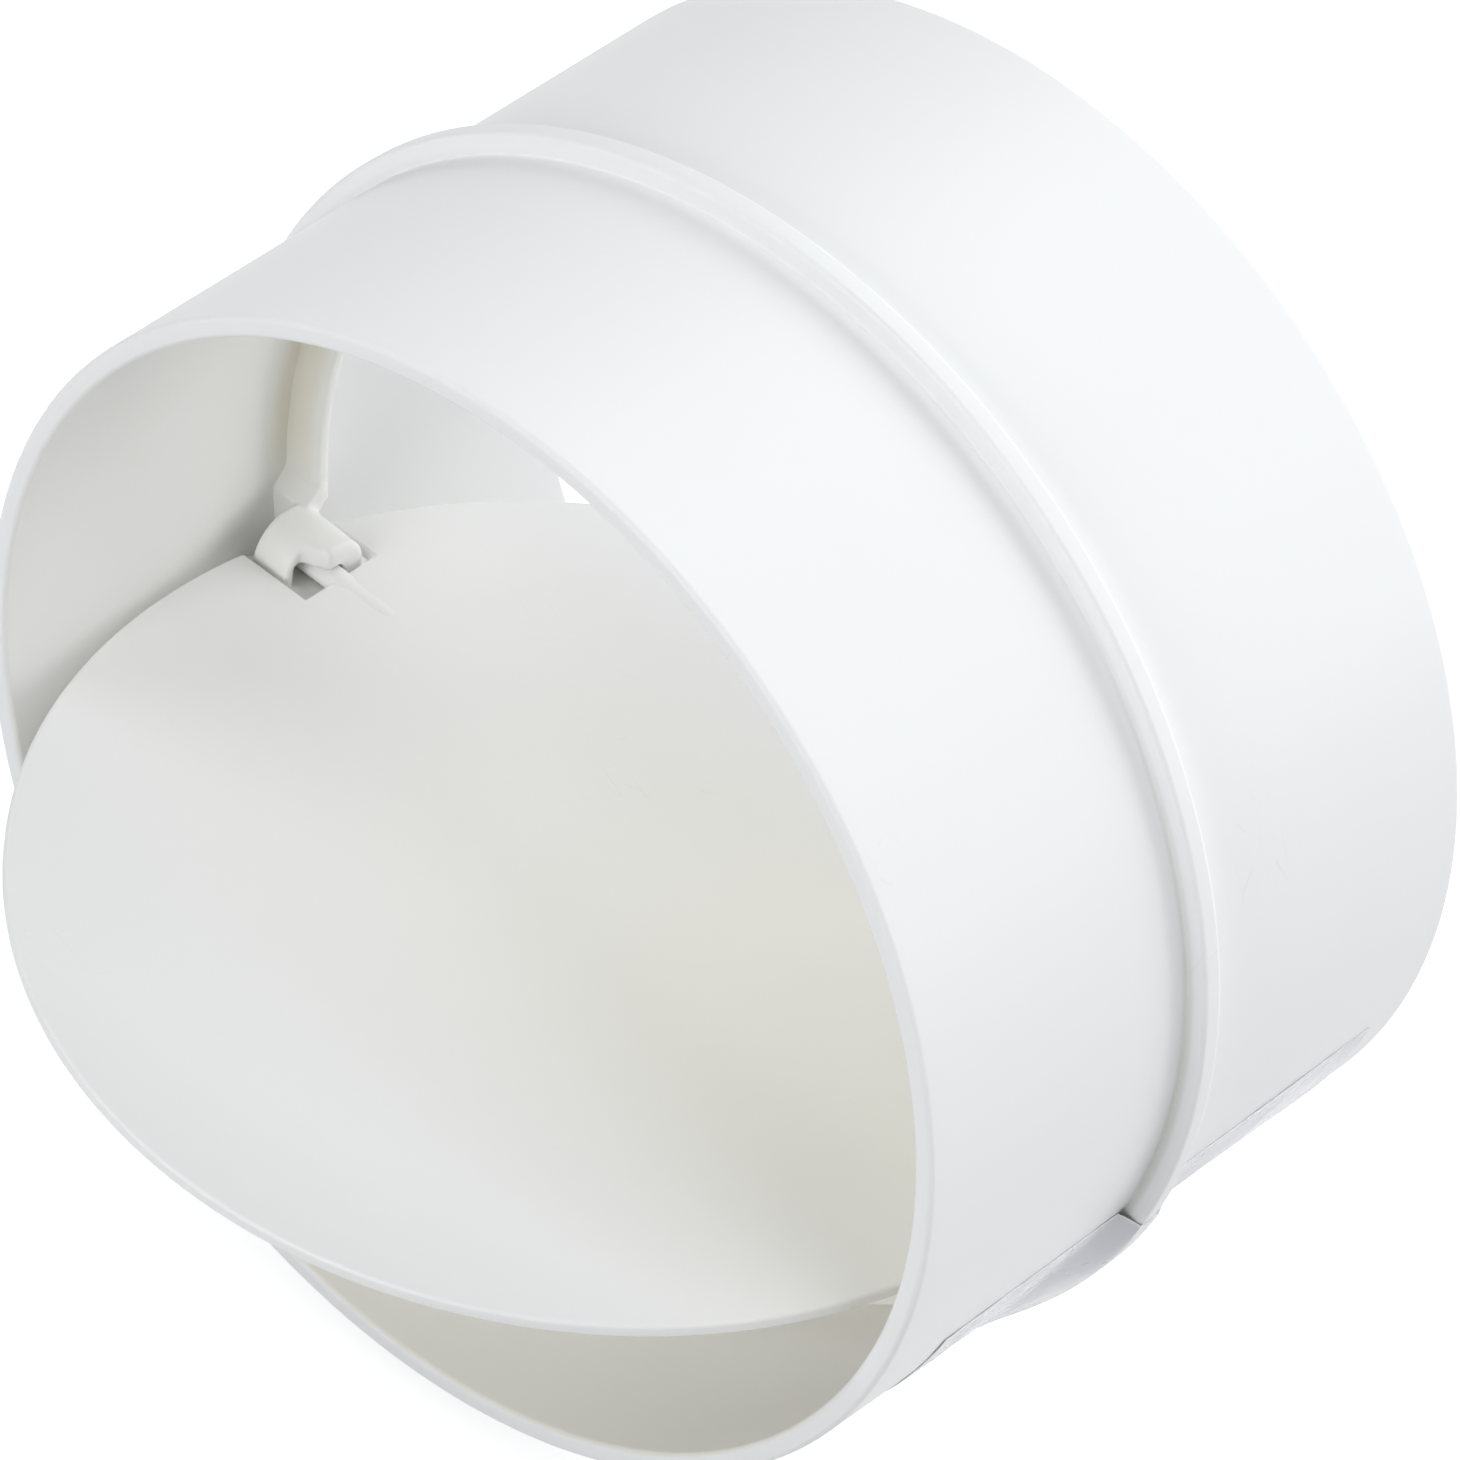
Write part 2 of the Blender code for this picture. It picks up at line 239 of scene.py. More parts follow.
# %% Shader groups for moulded plastic
SCRATCH_WIDTH = 0.012
SCRATCH_PATCHES = (0.62, 0.75)
SPECK_RARITY = 0.97


def make_skin_group():
    """Broad clouds and fine grain of a moulded skin, as two values from 0 to 1."""
    inputs = [("Cloud Scale", FLOAT, 30.0), ("Grain Scale", FLOAT, 2500.0)]
    outputs = [("Cloud", FLOAT), ("Grain", FLOAT)]
    tree, given, result = new_group("moulded_skin", "ShaderNodeTree", inputs, outputs)
    place = add_node(tree, "ShaderNodeTexCoord").outputs["Object"]
    cloud = add_node(
        tree,
        "ShaderNodeTexNoise",
        {"Vector": place, "Scale": given.outputs["Cloud Scale"], "Detail": 3.0, "Distortion": 0.6},
    )
    grain = add_node(
        tree,
        "ShaderNodeTexNoise",
        {"Vector": place, "Scale": given.outputs["Grain Scale"], "Detail": 2.0},
    )
    tree.links.new(cloud.outputs["Fac"], result.inputs["Cloud"])
    tree.links.new(grain.outputs["Fac"], result.inputs["Grain"])
    return tree


def make_scuff_group():
    """Fine scratches in patches, and rare dark specks, as two masks from 0 to 1."""
    inputs = [("Scratch Scale", FLOAT, 90.0), ("Speck Scale", FLOAT, 70.0), ("Speck Size", FLOAT, 0.02)]
    outputs = [("Scratches", FLOAT), ("Specks", FLOAT)]
    tree, given, result = new_group("scuffs", "ShaderNodeTree", inputs, outputs)
    place = add_node(tree, "ShaderNodeTexCoord").outputs["Object"]
    stretched = add_node(
        tree, "ShaderNodeMapping", {"Vector": place, "Rotation": (0.4, 0.9, 0.6), "Scale": (1.0, 9.0, 1.0)}
    )
    lines = add_node(
        tree,
        "ShaderNodeTexVoronoi",
        {"Vector": stretched.outputs[0], "Scale": given.outputs["Scratch Scale"]},
        feature="DISTANCE_TO_EDGE",
    )
    patches = add_node(tree, "ShaderNodeTexNoise", {"Vector": place, "Scale": 45.0, "Detail": 1.0})
    fall = {0: lines.outputs["Distance"], 1: 0.0, 2: SCRATCH_WIDTH, 3: 1.0, 4: 0.0}
    thin = add_node(tree, "ShaderNodeMapRange", fall)
    start, full = SCRATCH_PATCHES
    where = add_node(tree, "ShaderNodeMapRange", {0: patches.outputs["Fac"], 1: start, 2: full})
    scratches = add_maths(tree, "MULTIPLY", thin.outputs[0], where.outputs[0])
    dots = add_node(tree, "ShaderNodeTexVoronoi", {"Vector": place, "Scale": given.outputs["Speck Scale"]})
    chosen = add_node(tree, "ShaderNodeSeparateColor", {0: dots.outputs["Color"]})
    rare = add_maths(tree, "GREATER_THAN", chosen.outputs[0], SPECK_RARITY)
    near = add_maths(tree, "LESS_THAN", dots.outputs["Distance"], given.outputs["Speck Size"])
    specks = add_maths(tree, "MULTIPLY", rare, near)
    tree.links.new(scratches, result.inputs["Scratches"])
    tree.links.new(specks, result.inputs["Specks"])
    return tree


SKIN = make_skin_group()
SCUFFS = make_scuff_group()
print("shader groups:", SKIN.name, SCUFFS.name)

# %% [markdown]
# The two mouldings are the same kind of white plastic, the flap a touch warmer and duller. The
# clouds move the colour and the gloss by a few hundredths, the grain gives a bump too fine to
# see as lines, and the scuffs are duller and slightly darker. Shade is painted into the colour
# too. Thin walls let some light through and thick ones don't, and little light reaches the
# corners, so painted shade makes the plastic beige and darker in the band of the bore under the
# bead and in the corner at the bead's foot. Painted warm shade lies inside the bore, more of it
# low under the flap, and on the flap's middle. Light that is really scattered inside the plastic
# could show this, at twice the render time; masks made from Object coordinates paint it instead.

# %% White plastics
WORN_TINT = (0.93, 0.925, 0.90, 1.0)
SPECK_COLOUR = (0.16, 0.15, 0.14, 1.0)
INNER_SHADE_RADIUS = 48.2 * MM
ROOT_SHADE_END_Y = 4.2 * MM
SHOULDER_CORNER = (49.9 * MM, 0.3 * MM)
# Each pair below is where a mask of painted shade begins and where it is full.
BORE_FADE_Y = (9.0 * MM, 4.0 * MM)
LOW_BORE_SHADE_Z = (-14.0 * MM, -28.0 * MM)
ROOT_SHADE_Y = (0.2 * MM, 2.1 * MM)
ROOT_SHADE_REACH = (44.4 * MM, 46.2 * MM)
ROOT_SHADE_Z = (-9.0 * MM, -2.0 * MM)
SHOULDER_FADE = (0.9 * MM, 0.3 * MM)
SHOULDER_SIDE_Z = (50.0 * MM, -5.0 * MM)
FLAP_SHADE_X = (-45.0 * MM, 32.0 * MM)
FLAP_SHADE_FRONT_Y = (-46.0 * MM, -12.0 * MM)
FLAP_SHADE_BACK_Y = (24.0 * MM, 2.0 * MM)
# Painted warm shade of light bounced inside the bore's front part.
BORE_SHADE_TINT = (1.0, 0.992, 0.97, 1.0)
# Painted warm shade low in the bore, under the open flap.
LOW_BORE_SHADE_TINT = (1.0, 0.985, 0.945, 1.0)
# Painted warm shade on the flap's middle.
FLAP_SHADE_TINT = (0.955, 0.937, 0.867, 1.0)
# Painted shade in the corner band of the bore before the upper ledge, where little light reaches.
ROOT_SHADE_TINT = (0.96, 0.94, 0.85, 1.0)
# Painted shade in the corner at the bead's foot, darkest on the tube's lower side.
SHOULDER_SHADE_TINT = (0.85, 0.85, 0.82, 1.0)
CLOUD_RANGE = (0.3, 0.7)
GLOSS_RANGE = (-0.03, 0.04)
SCRATCH_DULLING = 0.15
SCRATCH_DEPTH = -1.5
PLASTIC_SPECULAR = 0.15


def mix_colours(tree, amount, first, second, blend="MIX"):
    """One colour from two, by a mask; the second may be laid over as a multiply."""
    inputs = {"Factor": amount, "A": first, "B": second}
    node = tree.nodes.new("ShaderNodeMix")
    node.data_type = "RGBA"
    node.blend_type = blend
    for label, value in inputs.items():
        kind = "VALUE" if label == "Factor" else "RGBA"
        socket = next(s for s in node.inputs if s.name == label and s.type == kind)
        if isinstance(value, bpy.types.NodeSocket):
            tree.links.new(value, socket)
        else:
            socket.default_value = value
    return next(s for s in node.outputs if s.type == "RGBA")


def soft_step(tree, value, start, end):
    """0 before start and 1 beyond end, with soft ends; end may be the lower of the two."""
    given = {0: value, 1: start, 2: end}
    return add_node(tree, "ShaderNodeMapRange", given, interpolation_type="SMOOTHSTEP").outputs[0]


def tube_place(tree):
    """Distance from the tube's axis, place along it and height, from Object coordinates."""
    place = add_node(tree, "ShaderNodeTexCoord").outputs["Object"]
    parts = add_node(tree, "ShaderNodeSeparateXYZ", {0: place})
    flat = add_node(tree, "ShaderNodeVectorMath", {0: place, 1: (1.0, 0.0, 1.0)}, operation="MULTIPLY")
    reach = add_node(tree, "ShaderNodeVectorMath", {0: flat.outputs[0]}, operation="LENGTH")
    return reach.outputs["Value"], parts.outputs["Y"], parts.outputs["Z"]


def bore_shade_mask(tree):
    """Where painted warm shade goes: 1 inside the tube's front part, 0 on its outside, fading out behind
    the upper ledge.
    """
    reach, along, _ = tube_place(tree)
    inside = add_maths(tree, "LESS_THAN", reach, INNER_SHADE_RADIUS)
    return add_maths(tree, "MULTIPLY", inside, soft_step(tree, along, *BORE_FADE_Y))


def low_bore_shade_mask(tree):
    """Painted warm shade: 1 low inside the tube, fading out towards the height of the open flap."""
    low = soft_step(tree, tube_place(tree)[2], *LOW_BORE_SHADE_Z)
    return add_maths(tree, "MULTIPLY", low, bore_shade_mask(tree))


def flap_shade_mask(tree):
    """Painted warm shade: 1 on the right of the flap's middle, fading to the left and to its front and back
    edges.
    """
    place = add_node(tree, "ShaderNodeTexCoord").outputs["Object"]
    parts = add_node(tree, "ShaderNodeSeparateXYZ", {0: place})
    mask = soft_step(tree, parts.outputs["X"], *FLAP_SHADE_X)
    mask = add_maths(tree, "MULTIPLY", mask, soft_step(tree, parts.outputs["Y"], *FLAP_SHADE_FRONT_Y))
    return add_maths(tree, "MULTIPLY", mask, soft_step(tree, parts.outputs["Y"], *FLAP_SHADE_BACK_Y))


def root_shade_mask(tree):
    """Painted shade: 1 in the corner band of the bore that lies under the bead, up to the ledge's rim,
    above the bosses.
    """
    reach, along, height = tube_place(tree)
    mask = soft_step(tree, along, *ROOT_SHADE_Y)
    mask = add_maths(tree, "MULTIPLY", mask, soft_step(tree, reach, *ROOT_SHADE_REACH))
    mask = add_maths(tree, "MULTIPLY", mask, add_maths(tree, "LESS_THAN", reach, INNER_SHADE_RADIUS))
    mask = add_maths(tree, "MULTIPLY", mask, add_maths(tree, "LESS_THAN", along, ROOT_SHADE_END_Y))
    return add_maths(tree, "MULTIPLY", mask, soft_step(tree, height, *ROOT_SHADE_Z))


def shoulder_shade_mask(tree):
    """Painted shade: 1 in the corner at the foot of the bead's front shoulder, fading within a millimetre,
    and stronger low on the tube.
    """
    reach, along, height = tube_place(tree)
    spot = add_node(tree, "ShaderNodeCombineXYZ", {"X": reach, "Y": along})
    corner = (*SHOULDER_CORNER, 0.0)
    away = add_node(tree, "ShaderNodeVectorMath", {0: spot.outputs[0], 1: corner}, operation="DISTANCE")
    near = soft_step(tree, away.outputs["Value"], *SHOULDER_FADE)
    top, bottom = SHOULDER_SIDE_Z
    low_side = add_node(tree, "ShaderNodeMapRange", {0: height, 1: top, 2: bottom})
    return add_maths(tree, "MULTIPLY", near, low_side.outputs[0])


def cloud_gloss(tree, skin, least, most):
    """Roughness that follows the clouds of the skin, between two values."""
    start, full = CLOUD_RANGE
    given = {0: skin.outputs["Cloud"], 1: start, 2: full, 3: least, 4: most}
    return add_node(tree, "ShaderNodeMapRange", given).outputs[0]


def make_white_plastic(name, colour, shade, masked_tints, roughness, grain_depth):
    """White moulded plastic: its clouds run from colour to shade; each tint of painted shade has a mask's
    maker.
    """
    made, shader = new_material(name)
    tree = made.node_tree
    skin = add_node(tree, "ShaderNodeGroup", node_tree=SKIN)
    scuffs = add_node(tree, "ShaderNodeGroup", node_tree=SCUFFS)
    clouded = mix_colours(tree, skin.outputs["Cloud"], colour, shade)
    # Each tint lays painted shade over the colour, as a multiply.
    for make_mask, tint in masked_tints:
        clouded = mix_colours(tree, make_mask(tree), clouded, tint, "MULTIPLY")
    worn = mix_colours(tree, scuffs.outputs["Scratches"], clouded, WORN_TINT, "MULTIPLY")
    specked = mix_colours(tree, scuffs.outputs["Specks"], worn, SPECK_COLOUR)
    tree.links.new(specked, shader.inputs["Base Color"])
    gloss = cloud_gloss(tree, skin, *(roughness + change for change in GLOSS_RANGE))
    dulled = add_maths(tree, "MULTIPLY_ADD", scuffs.outputs["Scratches"], SCRATCH_DULLING, gloss)
    tree.links.new(dulled, shader.inputs["Roughness"])
    dents = scuffs.outputs["Scratches"]
    height = add_maths(tree, "MULTIPLY_ADD", dents, SCRATCH_DEPTH, skin.outputs["Grain"])
    bump = add_node(tree, "ShaderNodeBump", {"Strength": 1.0, "Distance": grain_depth, "Height": height})
    tree.links.new(bump.outputs["Normal"], shader.inputs["Normal"])
    shader.inputs["Specular IOR Level"].default_value = PLASTIC_SPECULAR
    return made


BODY_PLASTIC = make_white_plastic(
    "white_body_plastic",
    (0.88, 0.88, 0.875, 1.0),
    (0.865, 0.865, 0.855, 1.0),
    # Painted shade in the bore, under the flap, before the upper ledge and at the bead's foot.
    (
        (bore_shade_mask, BORE_SHADE_TINT),
        (low_bore_shade_mask, LOW_BORE_SHADE_TINT),
        (root_shade_mask, ROOT_SHADE_TINT),
        (shoulder_shade_mask, SHOULDER_SHADE_TINT),
    ),
    0.38,
    0.004 * MM,
)
FLAP_PLASTIC = make_white_plastic(
    "white_flap_plastic",
    (0.885, 0.88, 0.865, 1.0),
    (0.87, 0.865, 0.85, 1.0),
    # Painted warm shade on the flap's middle.
    ((flap_shade_mask, FLAP_SHADE_TINT),),
    0.42,
    0.005 * MM,
)
print("plastics:", BODY_PLASTIC.name, FLAP_PLASTIC.name)

# %% [markdown]
# The tube, its ledges and the pins are all forms of revolution: an outline turned about an axis.
# Spin in bmesh could do it, or a Screw modifier. A Geometry Nodes tree is used instead, because
# the outline stays a list of points and one tree serves every turned piece. It lays a grid, looks
# up the outline's point for each row and turns each column by its angle.

# %% A lathe made of nodes
def make_lathe():
    """Turns an outline, given as vertices at (radius, along the axis, 0), about the Y axis."""
    inputs = [
        ("Outline", SHAPE, None),
        ("Steps", WHOLE, 96),
        ("Start", FLOAT, 0.0),
        ("Sweep", FLOAT, 2 * math.pi),
        ("Closed", WHOLE, 1),
        ("Weld", FLOAT, 0.001 * MM),
        ("Plastic", "NodeSocketMaterial", None),
    ]
    tree, given, result = new_group("lathe", "GeometryNodeTree", inputs, [("Piece", SHAPE)])
    outline = given.outputs["Outline"]
    count = add_node(tree, "GeometryNodeAttributeDomainSize", {"Geometry": outline}).outputs["Point Count"]
    rows = add_maths(tree, "ADD", count, given.outputs["Closed"])
    columns = add_maths(tree, "ADD", given.outputs["Steps"], 1.0)
    grid = add_node(tree, "GeometryNodeMeshGrid", {"Vertices X": columns, "Vertices Y": rows})
    index = add_node(tree, "GeometryNodeInputIndex").outputs[0]
    row = add_maths(tree, "FLOORED_MODULO", index, rows)
    column = add_maths(tree, "FLOOR", add_maths(tree, "DIVIDE", add_maths(tree, "ADD", index, 0.5), rows))
    share = add_maths(tree, "DIVIDE", column, given.outputs["Steps"])
    angle = add_maths(tree, "MULTIPLY_ADD", share, given.outputs["Sweep"], given.outputs["Start"])
    place = add_node(tree, "GeometryNodeInputPosition").outputs[0]
    looked_up = add_node(tree, "GeometryNodeSampleIndex", data_type="FLOAT_VECTOR", domain="POINT")
    tree.links.new(outline, looked_up.inputs["Geometry"])
    tree.links.new(place, next(s for s in looked_up.inputs if s.name == "Value" and s.enabled))
    tree.links.new(add_maths(tree, "FLOORED_MODULO", row, count), looked_up.inputs["Index"])
    point = add_node(tree, "ShaderNodeSeparateXYZ", {0: next(s for s in looked_up.outputs if s.enabled)})
    across = add_maths(tree, "MULTIPLY", point.outputs["X"], add_maths(tree, "COSINE", angle))
    up = add_maths(tree, "MULTIPLY", point.outputs["X"], add_maths(tree, "SINE", angle))
    turned = add_node(tree, "ShaderNodeCombineXYZ", {"X": across, "Y": point.outputs["Y"], "Z": up})
    placed = add_node(
        tree, "GeometryNodeSetPosition", {"Geometry": grid.outputs["Mesh"], "Position": turned.outputs[0]}
    )
    welded = add_node(
        tree,
        "GeometryNodeMergeByDistance",
        {"Geometry": placed.outputs[0], "Distance": given.outputs["Weld"]},
    )
    real = add_node(tree, "GeometryNodeRealizeInstances", {"Geometry": welded.outputs[0]})
    painted = add_node(
        tree, "GeometryNodeSetMaterial", {"Geometry": real.outputs[0], "Material": given.outputs["Plastic"]}
    )
    tree.links.new(painted.outputs[0], result.inputs["Piece"])
    return tree


LATHE = make_lathe()
print("lathe inputs:", [item.name for item in LATHE.interface.items_tree if item.in_out == "INPUT"])

# %% [markdown]
# A modifier's result is turned into a plain mesh before anything else is done with it. The
# finished mesh is cleaned: doubles merged, open ends closed where the piece is a solid, and every
# face turned outwards. Weighted normals then keep the flat faces flat beside the small rounds.

# %% Helpers for meshes
def link(name, mesh):
    """A new object at the origin."""
    made = bpy.data.objects.new(name, mesh)
    bpy.context.scene.collection.objects.link(made)
    return made


def take_result(source, name):
    """The source with its modifiers applied, as a plain new object; the source is removed."""
    seen = source.evaluated_get(bpy.context.evaluated_depsgraph_get())
    mesh = bpy.data.meshes.new_from_object(seen)
    mesh.name = name
    bpy.data.objects.remove(source)
    return link(name, mesh)


def tidy_mesh(piece, close_ends=False):
    """Merge doubles, close open ends and turn the faces outwards."""
    work = bmesh.new()
    work.from_mesh(piece.data)
    bmesh.ops.remove_doubles(work, verts=work.verts, dist=0.002 * MM)
    bmesh.ops.dissolve_degenerate(work, edges=work.edges, dist=0.001 * MM)
    if close_ends:
        bmesh.ops.holes_fill(work, edges=[edge for edge in work.edges if edge.is_boundary])
    bmesh.ops.recalc_face_normals(work, faces=work.faces)
    work.to_mesh(piece.data)
    work.free()
    return piece


def turn_outline(name, points, plastic, steps=96, start_deg=0.0, sweep_deg=360.0, closed=True):
    """A turned piece from its outline, as a plain mesh."""
    mesh = bpy.data.meshes.new(name)
    mesh.from_pydata([(radius, along, 0.0) for radius, along in points], [], [])
    source = link(name + "_outline", mesh)
    step = source.modifiers.new("lathe", "NODES")
    step.node_group = LATHE
    values = {
        "Steps": steps,
        "Start": math.radians(start_deg),
        "Sweep": math.radians(sweep_deg),
        "Closed": int(closed),
        "Plastic": plastic,
    }
    for item in LATHE.interface.items_tree:
        if item.in_out == "INPUT" and item.name in values:
            step[item.identifier] = values[item.name]
    return take_result(source, name)


def combine(target, tools, operation, name):
    """Join shapes to the target or cut them away, and return the plain result."""
    group = bpy.data.collections.new(name + "_tools")
    bpy.context.scene.collection.children.link(group)
    for tool in tools:
        bpy.context.scene.collection.objects.unlink(tool)
        group.objects.link(tool)
    step = target.modifiers.new(operation, "BOOLEAN")
    step.operation = operation
    step.solver = "EXACT"
    step.operand_type = "COLLECTION"
    step.collection = group
    joined = take_result(target, name)
    for tool in tools:
        bpy.data.objects.remove(tool)
    bpy.data.collections.remove(group)
    return joined


def shade(piece, corner_deg=40.0):
    """Smooth shading with true corners kept, and normals led by the large faces."""
    piece.data.shade_smooth()
    piece.data.set_sharp_from_angle(angle=math.radians(corner_deg))
    step = piece.modifiers.new("weighted", "WEIGHTED_NORMAL")
    step.keep_sharp = True
    name = piece.name
    piece.name = name + "_rough"
    return take_result(piece, name)


def say(piece):
    """Print how many faces a piece has and how large it is."""
    low = [min(v.co[i] for v in piece.data.vertices) / MM for i in range(3)]
    high = [max(v.co[i] for v in piece.data.vertices) / MM for i in range(3)]
    size = [round(b - a, 1) for a, b in zip(low, high)]
    print(piece.name, "faces:", len(piece.data.polygons), "size in mm:", size)


print("mesh helpers ready")

# %% [markdown]
# The wall is the body's main form. Its outline goes round the front rim, along the outside, over
# the bead with its soft foot, round the back rim and home along the bore. Long straight runs are
# cut into short ones, so that the smooth shading of the round wall has points to follow.

# %% Tube wall
SPIGOT_RADIUS = 49.8 * MM
WALL = 1.85 * MM
BORE_RADIUS = SPIGOT_RADIUS - WALL
FRONT_RIM_Y = -28.9 * MM
RIM_ROUND = 0.5 * MM
BEAD_WIDTH = 2.0 * MM
BEAD_RADIUS = SPIGOT_RADIUS + 1.9 * MM
BEAD_ROUND = 0.45 * MM
BEAD_FOOT = (0.15 * MM, 0.3 * MM)
BACK_RIM_Y = BEAD_WIDTH + 30.3 * MM
TUBE_STEPS = 256
RUN_STEP = 2.0 * MM


def corner_arc(centre, across, along, start_deg, end_deg, steps=6):
    """Points along an oval corner in the outline's plane, both ends included."""
    points = []
    for i in range(steps + 1):
        angle = math.radians(start_deg + (end_deg - start_deg) * i / steps)
        points.append((centre[0] + across * math.cos(angle), centre[1] + along * math.sin(angle)))
    return points


def split_runs(points, longest):
    """The closed outline with its long runs cut into equal shorter ones."""
    result = []
    for first, second in zip(points, points[1:] + points[:1]):
        pieces = max(1, math.ceil(math.dist(first, second) / longest))
        for i in range(pieces):
            t = i / pieces
            result.append((first[0] + (second[0] - first[0]) * t, first[1] + (second[1] - first[1]) * t))
    return result


def wall_outline():
    rim, bead = RIM_ROUND, BEAD_ROUND
    rise, run = BEAD_FOOT
    points = corner_arc((BORE_RADIUS + rim, FRONT_RIM_Y + rim), rim, rim, 180, 270)
    points += corner_arc((SPIGOT_RADIUS - rim, FRONT_RIM_Y + rim), rim, rim, 270, 360)
    points += corner_arc((SPIGOT_RADIUS + rise, -run), rise, run, 180, 90)
    points += corner_arc((BEAD_RADIUS - bead, bead), bead, bead, 270, 360)
    points += corner_arc((BEAD_RADIUS - bead, BEAD_WIDTH - bead), bead, bead, 0, 90)
    points += corner_arc((SPIGOT_RADIUS + rise, BEAD_WIDTH + run), rise, run, 270, 180)
    points += corner_arc((SPIGOT_RADIUS - rim, BACK_RIM_Y - rim), rim, rim, 0, 90)
    points += corner_arc((BORE_RADIUS + rim, BACK_RIM_Y - rim), rim, rim, 90, 180)
    return split_runs(points, RUN_STEP)


wall = tidy_mesh(turn_outline("tube_wall", wall_outline(), BODY_PLASTIC, TUBE_STEPS))
say(wall)

# %% [markdown]
# Two half-round ledges stand in from the bore, and the closed flap lies against them: the upper
# one behind it, the lower one before it. They are the same outline, turned through a little less
# than half a circle each, one of them back to front.

# %% Ledges
PIVOT_Z = -11.4 * MM
FLAP_THICKNESS = 1.2 * MM
MID_WALL_RADIUS = BORE_RADIUS + WALL / 2
LEDGE_RADIUS = BORE_RADIUS - 3.45 * MM
LEDGE_NEAR_Y = FLAP_THICKNESS / 2 + 2.3 * MM
LEDGE_FAR_Y = LEDGE_NEAR_Y + 1.4 * MM
LEDGE_ROUND = 0.35 * MM
LEDGE_END_GAP = 1.1 * MM


def make_ledge(name, way):
    """Way 1 is the upper ledge, behind the closed flap; way -1 is the lower one, before it."""
    corner = LEDGE_ROUND
    points = [(MID_WALL_RADIUS, LEDGE_FAR_Y), (MID_WALL_RADIUS, LEDGE_NEAR_Y)]
    points += corner_arc((LEDGE_RADIUS + corner, LEDGE_NEAR_Y + corner), corner, corner, 270, 180)
    points += corner_arc((LEDGE_RADIUS + corner, LEDGE_FAR_Y - corner), corner, corner, 180, 90)
    points = [(radius, way * along) for radius, along in points]
    ends_z = PIVOT_Z + way * (FLAP_THICKNESS / 2 + LEDGE_END_GAP)
    start = way * math.degrees(math.asin(ends_z / MID_WALL_RADIUS))
    sweep = 180 - 2 * start
    first = start if way > 0 else 180 + start
    steps = round(TUBE_STEPS * sweep / 360)
    ledge = turn_outline(name, points, BODY_PLASTIC, steps, first, sweep)
    return tidy_mesh(ledge, close_ends=True)


ledges = [make_ledge("upper_ledge", 1), make_ledge("lower_ledge", -1)]
for ledge in ledges:
    say(ledge)

# %% [markdown]
# Each pin is held by a boss in three parts. A neck behind the pin stands in from the wall and
# carries a whole round hook, and a lip runs on from the hook over the pin. A ramp leads each boss
# up to each ledge. These are outlines in the plane across the pins, carried along X from section
# to section. A Boolean then cuts the slot for the pin.

# %% Bosses, ramps and pin slots
PIN_RADIUS = 1.05 * MM
PIN_BORE_RADIUS = PIN_RADIUS + 0.2 * MM
BOSS_RADIUS = 3.4 * MM
BOSS_CHAMFER = 0.3 * MM
BOSS_STEPS = 24
NECK_SETBACK = 1.3 * MM
LIP_ROOT_REACH = 1.9 * MM
LIP_TIP_REACH = 0.9 * MM
PIVOT_WALL_X = math.sqrt(BORE_RADIUS**2 - PIVOT_Z**2)
HOOK_WALL_GAP = 2.0 * MM
HOOK_START_X = PIVOT_WALL_X - HOOK_WALL_GAP
BOSS_LENGTH = 5.8 * MM
BOSS_FACE_X = PIVOT_WALL_X - BOSS_LENGTH
LIP_LENGTH = 2.2 * MM
LIP_END_X = BOSS_FACE_X - LIP_LENGTH
SLOT_FLOOR = 0.5 * MM
SLOT_END_X = PIVOT_WALL_X - SLOT_FLOOR
SLOT_WALL = 1.0 * MM
SLOT_FRONT = BOSS_RADIUS - SLOT_WALL
RAMP_RISE = 1.1 * MM
RAMP_SINK = 0.15 * MM
RAMP_END_X = HOOK_START_X - 0.9 * MM


def add_section(work, side, outline, x, inset=0.0):
    """The outline, given as (y, height) about the pins' line, at x, or in the wall where x is None."""
    ring = []
    for y, height in outline:
        shrink = 1.0 - inset / math.hypot(y, height)
        z = PIVOT_Z + height * shrink
        place_x = x or math.sqrt(MID_WALL_RADIUS**2 - z**2)
        ring.append(work.verts.new((side * place_x, y * shrink, z)))
    return ring


def join_sections(work, near, far):
    """Faces between two sections with the same number of points."""
    for i in range(len(near)):
        j = (i + 1) % len(near)
        work.faces.new((near[i], near[j], far[j], far[i]))


def add_bar(work, side, outline, start_x, end_x):
    """A bar along X with closed ends."""
    start = add_section(work, side, outline, start_x)
    end = add_section(work, side, outline, end_x)
    work.faces.new(start)
    work.faces.new(end)
    join_sections(work, start, end)


def boss_arc(start_deg, end_deg, steps=BOSS_STEPS):
    """Points on the boss's round side; 0 degrees is straight behind the pin."""
    return corner_arc((0, 0), BOSS_RADIUS, BOSS_RADIUS, start_deg, end_deg, steps)


def boss_turn(reach):
    """Angle from straight behind the pin round to a cut that lies this far before the pin."""
    return math.degrees(math.acos(-reach / BOSS_RADIUS))


